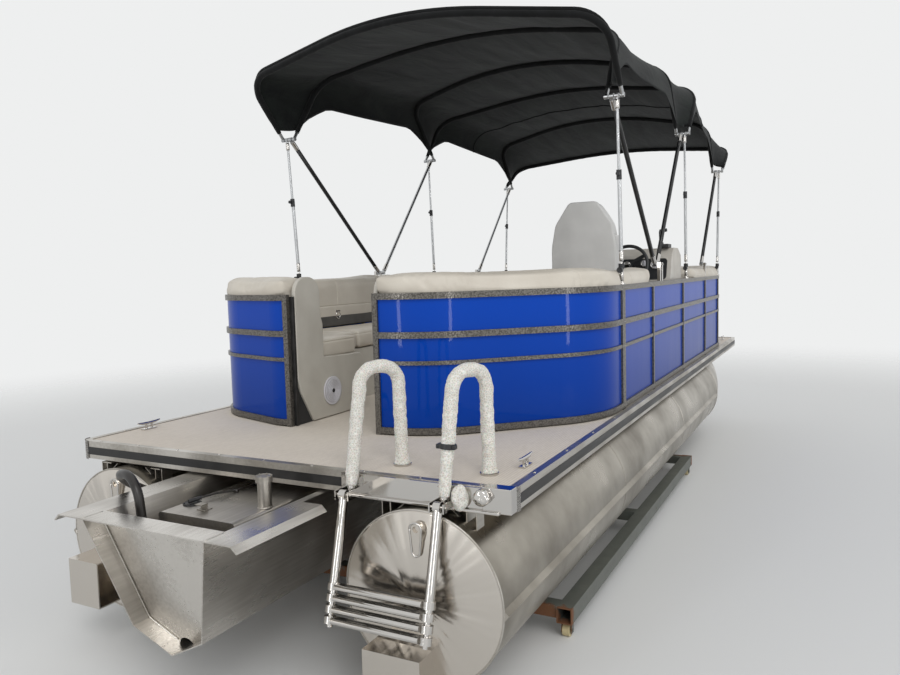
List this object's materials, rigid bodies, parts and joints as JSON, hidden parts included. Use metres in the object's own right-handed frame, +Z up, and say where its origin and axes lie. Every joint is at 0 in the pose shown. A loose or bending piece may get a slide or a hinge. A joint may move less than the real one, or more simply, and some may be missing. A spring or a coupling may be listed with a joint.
{
  "type": "pontoon boat",
  "caption": "Open pontoon leisure boat with a fenced deck, lounge seats, helm, folding bimini top, stern ladder and motor pod, standing on its wheeled cradle.",
  "frame": {"origin": "on the floor, under the middle of the bounding box", "axes": "+X towards the bow, +Y to port, +Z up"},
  "size_m": [7.155, 2.4, 3.3809],
  "materials": {
    "aluminium_tube": "mill-finish sheet, brushed and slightly cloudy",
    "frame_aluminium": "plain mill-finish extrusion",
    "polished_steel": "mirror-polished stainless",
    "fence_grey": "dark grey hammertone powder coat",
    "panel_blue": "high-gloss blue sheet with a clear coat",
    "deck_vinyl": "ribbed woven vinyl flooring",
    "rub_rubber": "satin black rubber",
    "hose_rubber": "thick black corrugated hose",
    "foam_white": "white foam net sleeves",
    "vinyl_greige": "stitched marine vinyl, soft sheen",
    "base_greige": "rotomoulded seat base, fine grain",
    "vinyl_light": "light grey marine vinyl",
    "console_plastic": "gelcoat-like moulded console",
    "dash_black": "black dash panel",
    "wheel_black": "soft black rim",
    "canopy_fabric": "woven acrylic canvas, charcoal black",
    "strut_aluminium": "bright anodised tube",
    "cradle_steel": "grey paint with rusty brown open ends",
    "caster_cream": "cream nylon wheel"
  },
  "bodies": {
    "hull": {"pontoon_port": "aluminium_tube", "pontoon_starboard": "aluminium_tube", "deck_channels": "frame_aluminium", "deck_risers": "frame_aluminium", "centre_pod": "aluminium_tube", "fuel_tank": "aluminium_tube", "rigging_hose": "hose_rubber", "deck_board": "deck_vinyl", "rub_rail": "frame_aluminium", "rub_rail_rubber": "rub_rubber", "stern_channel": "polished_steel", "cleats": "polished_steel", "grab_rails": "polished_steel", "foam_sleeves": "foam_white", "fence_aft_port": "fence_grey", "fence_aft_starboard": "fence_grey", "fence_side_port": "fence_grey", "fence_side_starboard": "fence_grey", "fence_skin_port": "panel_blue", "fence_skin_starboard": "panel_blue", "lounge_bases_aft": "base_greige", "lounge_bases_bow": "base_greige", "backrests_aft": "vinyl_greige", "backrests_bow": "vinyl_greige", "seats_fixed": "vinyl_greige", "lounge_end_panels": "base_greige", "helm_console": "console_plastic", "helm_dash": "dash_black", "chair_pedestal": "frame_aluminium", "bimini_mounts": "polished_steel", "bimini_mid_frame": "strut_aluminium", "canopy": "canopy_fabric", "cradle": "cradle_steel"},
    "ladder_upper": {"ladder_section_1": "polished_steel"},
    "ladder_second": {"ladder_section_2": "polished_steel"},
    "ladder_third": {"ladder_section_3": "polished_steel"},
    "ladder_fourth": {"ladder_section_4": "polished_steel"},
    "bow_gate": {"bow_gate_frame": "fence_grey", "bow_gate_skin": "panel_blue"},
    "lid_aft_port": {"seat_lid_aft_port": "vinyl_greige"},
    "lid_aft_starboard": {"seat_lid_aft_starboard": "vinyl_greige"},
    "lid_bow_port": {"seat_lid_bow_port": "vinyl_greige"},
    "lid_bow_starboard": {"seat_lid_bow_starboard": "vinyl_greige"},
    "steering": {"steering_wheel": "wheel_black"},
    "chair": {"captain_chair": "vinyl_light"},
    "top_legs_aft": {"bimini_legs_aft": "strut_aluminium"},
    "top_legs_front": {"bimini_legs_front": "strut_aluminium"},
    "top_struts_aft": {"bimini_struts_aft": "strut_aluminium"},
    "top_struts_front": {"bimini_struts_front": "strut_aluminium"},
    "bow_1": {"bimini_bow_1": "strut_aluminium"},
    "bow_2": {"bimini_bow_2": "strut_aluminium"},
    "bow_3": {"bimini_bow_3": "strut_aluminium"},
    "bow_4": {"bimini_bow_4": "strut_aluminium"},
    "bow_5": {"bimini_bow_5": "strut_aluminium"},
    "bow_6": {"bimini_bow_6": "strut_aluminium"},
    "caster_aft_port": {"caster_wheel_aft_port": "caster_cream"},
    "caster_aft_starboard": {"caster_wheel_aft_starboard": "caster_cream"},
    "caster_front_port": {"caster_wheel_front_port": "caster_cream"},
    "caster_front_starboard": {"caster_wheel_front_starboard": "caster_cream"}
  },
  "joints": [
    {"name": "ladder_fold", "type": "hinge", "parent": "hull", "child": "ladder_upper", "pos_m": [-3.0065, -0.714, 0.872], "axis": [0, 1, 0], "range_deg": [0, 145]},
    {"name": "ladder_slide_second", "type": "slide", "parent": "ladder_upper", "child": "ladder_second", "axis": [-0.2588, 0, -0.9659], "range_m": [0, 0.25]},
    {"name": "ladder_slide_third", "type": "slide", "parent": "ladder_second", "child": "ladder_third", "axis": [-0.2588, 0, -0.9659], "range_m": [0, 0.25]},
    {"name": "ladder_slide_fourth", "type": "slide", "parent": "ladder_third", "child": "ladder_fourth", "axis": [-0.2588, 0, -0.9659], "range_m": [0, 0.25]},
    {"name": "bow_gate_hinge", "type": "hinge", "parent": "hull", "child": "bow_gate", "pos_m": [3.0165, 0.333, 1.295], "axis": [0, 0, 1], "range_deg": [0, 110]},
    {"name": "seat_lid_aft_port_hinge", "type": "hinge", "parent": "hull", "child": "lid_aft_port", "pos_m": [-0.9225, 0.941, 1.384], "axis": [-1, 0, 0], "range_deg": [0, 75]},
    {"name": "seat_lid_aft_starboard_hinge", "type": "hinge", "parent": "hull", "child": "lid_aft_starboard", "pos_m": [-0.9225, -0.941, 1.384], "axis": [1, 0, 0], "range_deg": [0, 75]},
    {"name": "seat_lid_bow_port_hinge", "type": "hinge", "parent": "hull", "child": "lid_bow_port", "pos_m": [1.7775, 0.941, 1.384], "axis": [-1, 0, 0], "range_deg": [0, 75]},
    {"name": "seat_lid_bow_starboard_hinge", "type": "hinge", "parent": "hull", "child": "lid_bow_starboard", "pos_m": [1.7775, -0.941, 1.384], "axis": [1, 0, 0], "range_deg": [0, 75]},
    {"name": "steering_turn", "type": "hinge", "parent": "hull", "child": "steering", "pos_m": [0.33625, -0.8, 1.77042], "axis": [-0.9487, 0, 0.3162], "range_deg": [-540, 540]},
    {"name": "chair_swivel", "type": "hinge", "parent": "hull", "child": "chair", "pos_m": [-0.0925, -0.67, 1.27], "axis": [0, 0, 1], "continuous": true},
    {"name": "top_fold", "type": "hinge", "parent": "hull", "child": "top_legs_aft", "pos_m": [-0.1725, 0, 1.768], "axis": [0, 1, 0], "range_deg": [0, 86], "deforming": ["canopy"]},
    {"name": "top_fold_front", "type": "hinge", "parent": "hull", "child": "top_legs_front", "pos_m": [1.7575, 0, 1.768], "axis": [0, 1, 0], "range_deg": [-86.5, 0]},
    {"name": "top_bow_1", "type": "hinge", "parent": "top_legs_aft", "child": "bow_1", "pos_m": [-1.2325, 0, 2.69], "axis": [0, 1, 0], "range_deg": [-52.08, 0]},
    {"name": "top_bow_2", "type": "hinge", "parent": "top_legs_aft", "child": "bow_2", "pos_m": [-1.2325, 0, 2.69], "axis": [0, 1, 0], "range_deg": [-123.46, 0]},
    {"name": "top_bow_3", "type": "hinge", "parent": "hull", "child": "bow_3", "pos_m": [0.7775, 0, 2.785], "axis": [0, 1, 0], "range_deg": [0, 41.92]},
    {"name": "top_bow_4", "type": "hinge", "parent": "hull", "child": "bow_4", "pos_m": [0.7775, 0, 2.785], "axis": [0, 1, 0], "range_deg": [-32.27, 0]},
    {"name": "top_bow_5", "type": "hinge", "parent": "top_legs_front", "child": "bow_5", "pos_m": [2.6375, 0, 2.69], "axis": [0, 1, 0], "range_deg": [0, 125.53]},
    {"name": "top_bow_6", "type": "hinge", "parent": "top_legs_front", "child": "bow_6", "pos_m": [2.6375, 0, 2.69], "axis": [0, 1, 0], "range_deg": [0, 39.28]},
    {"name": "top_strut_aft", "type": "hinge", "parent": "top_legs_aft", "child": "top_struts_aft", "pos_m": [-1.2325, 0, 2.69], "axis": [0, 1, 0], "range_deg": [-45.5, 0]},
    {"name": "top_strut_front", "type": "hinge", "parent": "top_legs_front", "child": "top_struts_front", "pos_m": [2.6375, 0, 2.69], "axis": [0, 1, 0], "range_deg": [0, 38.29]},
    {"name": "caster_spin_aft_port", "type": "hinge", "parent": "hull", "child": "caster_aft_port", "pos_m": [-2.0925, 1.112, 0.031], "axis": [0, 1, 0], "continuous": true},
    {"name": "caster_spin_aft_starboard", "type": "hinge", "parent": "hull", "child": "caster_aft_starboard", "pos_m": [-2.0925, -1.112, 0.031], "axis": [0, 1, 0], "continuous": true},
    {"name": "caster_spin_front_port", "type": "hinge", "parent": "hull", "child": "caster_front_port", "pos_m": [1.0175, 1.112, 0.031], "axis": [0, 1, 0], "continuous": true},
    {"name": "caster_spin_front_starboard", "type": "hinge", "parent": "hull", "child": "caster_front_starboard", "pos_m": [1.0175, -1.112, 0.031], "axis": [0, 1, 0], "continuous": true}
  ],
  "couplings": [
    {"joint": "top_fold_front", "follows": "top_fold", "ratio": -1},
    {"joint": "top_bow_1", "follows": "top_fold", "ratio": -0.59979},
    {"joint": "top_bow_2", "follows": "top_fold", "ratio": -1.4298},
    {"joint": "top_bow_3", "follows": "top_fold", "ratio": 0.48164},
    {"joint": "top_bow_4", "follows": "top_fold", "ratio": -0.36939},
    {"joint": "top_bow_5", "follows": "top_fold", "ratio": 1.4538},
    {"joint": "top_bow_6", "follows": "top_fold", "ratio": 0.45098},
    {"joint": "top_strut_aft", "follows": "top_fold", "ratio": -0.52321},
    {"joint": "top_strut_front", "follows": "top_fold", "ratio": 0.43943}
  ]
}
